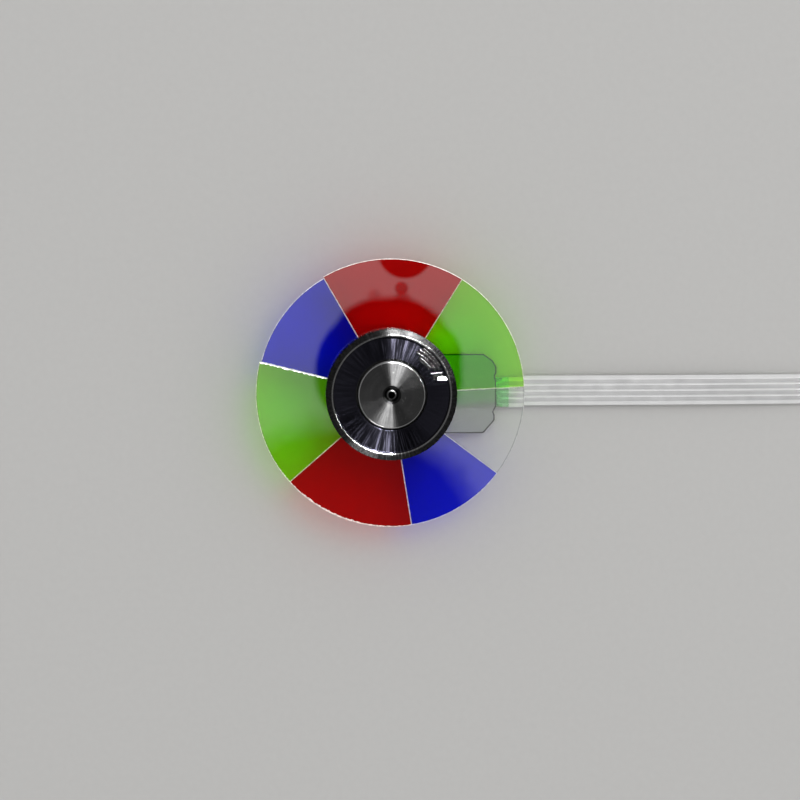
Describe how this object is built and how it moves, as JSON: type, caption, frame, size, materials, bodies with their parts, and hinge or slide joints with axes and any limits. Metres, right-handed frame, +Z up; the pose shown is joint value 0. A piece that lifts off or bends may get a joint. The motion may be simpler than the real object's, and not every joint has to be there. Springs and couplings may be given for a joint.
{
  "type": "projector color wheel",
  "caption": "Segmented glass filter wheel on a small outer-rotor motor, with a base plate and a flat cable.",
  "frame": {"origin": "on the wheel's axis at the foot of the motor's pilot boss, where the part stands", "axes": "+Z up the wheel's axis towards the hub's face, +X along the base plate's tongue and the flat cable"},
  "size_m": [0.12, 0.044, 0.012],
  "materials": {
    "red_glass": "gloss",
    "blue_glass": "gloss",
    "green_glass": "gloss",
    "clear_glass": "gloss",
    "glue": "gloss",
    "turned_metal": "polished",
    "yoke_steel": "satin",
    "magnet": "matte",
    "shaft_steel": "polished",
    "washer_plastic": "satin",
    "black_tape": "matte",
    "brass": "satin",
    "bronze": "matte",
    "core_steel": "satin",
    "insulator_plastic": "satin",
    "winding_wire": "gloss",
    "plate_steel": "satin",
    "board": "satin",
    "tinned_copper": "satin",
    "solder": "gloss",
    "cable_film": "gloss",
    "tape_film": "gloss",
    "stiffener_film": "satin"
  },
  "bodies": {
    "stator": {"bearing_holder": "brass", "sleeve_bearing": "bronze", "thrust_pad": "washer_plastic", "thrust_cover": "brass", "stator_core": "core_steel", "insulator_lower": "insulator_plastic", "insulator_upper": "insulator_plastic", "windings": "winding_wire", "coil_leads": "winding_wire", "base_plate": "plate_steel", "solder_board": "board", "cable_tails": "tinned_copper", "solder_joints": "solder", "flat_cable": "cable_film", "cable_tape": "tape_film", "cable_stiffener": "stiffener_film", "cable_contacts": "tinned_copper"},
    "rotor": {"red_segment_top": "red_glass", "blue_segment_upper": "blue_glass", "green_segment_left": "green_glass", "red_segment_lower": "red_glass", "blue_segment_lower": "blue_glass", "clear_segment": "clear_glass", "green_segment_right": "green_glass", "lower_adhesive": "glue", "upper_adhesive": "glue", "rotor_hub": "turned_metal", "clamp_ring": "turned_metal", "balance_glue": "glue", "rotor_yoke": "yoke_steel", "ring_magnet": "magnet", "shaft": "shaft_steel", "stop_washer": "washer_plastic", "index_mark": "black_tape"}
  },
  "joints": [
    {"name": "wheel_spin", "type": "hinge", "parent": "stator", "child": "rotor", "pos_m": [0, 0, 0], "axis": [0, 0, 1], "continuous": true}
  ]
}
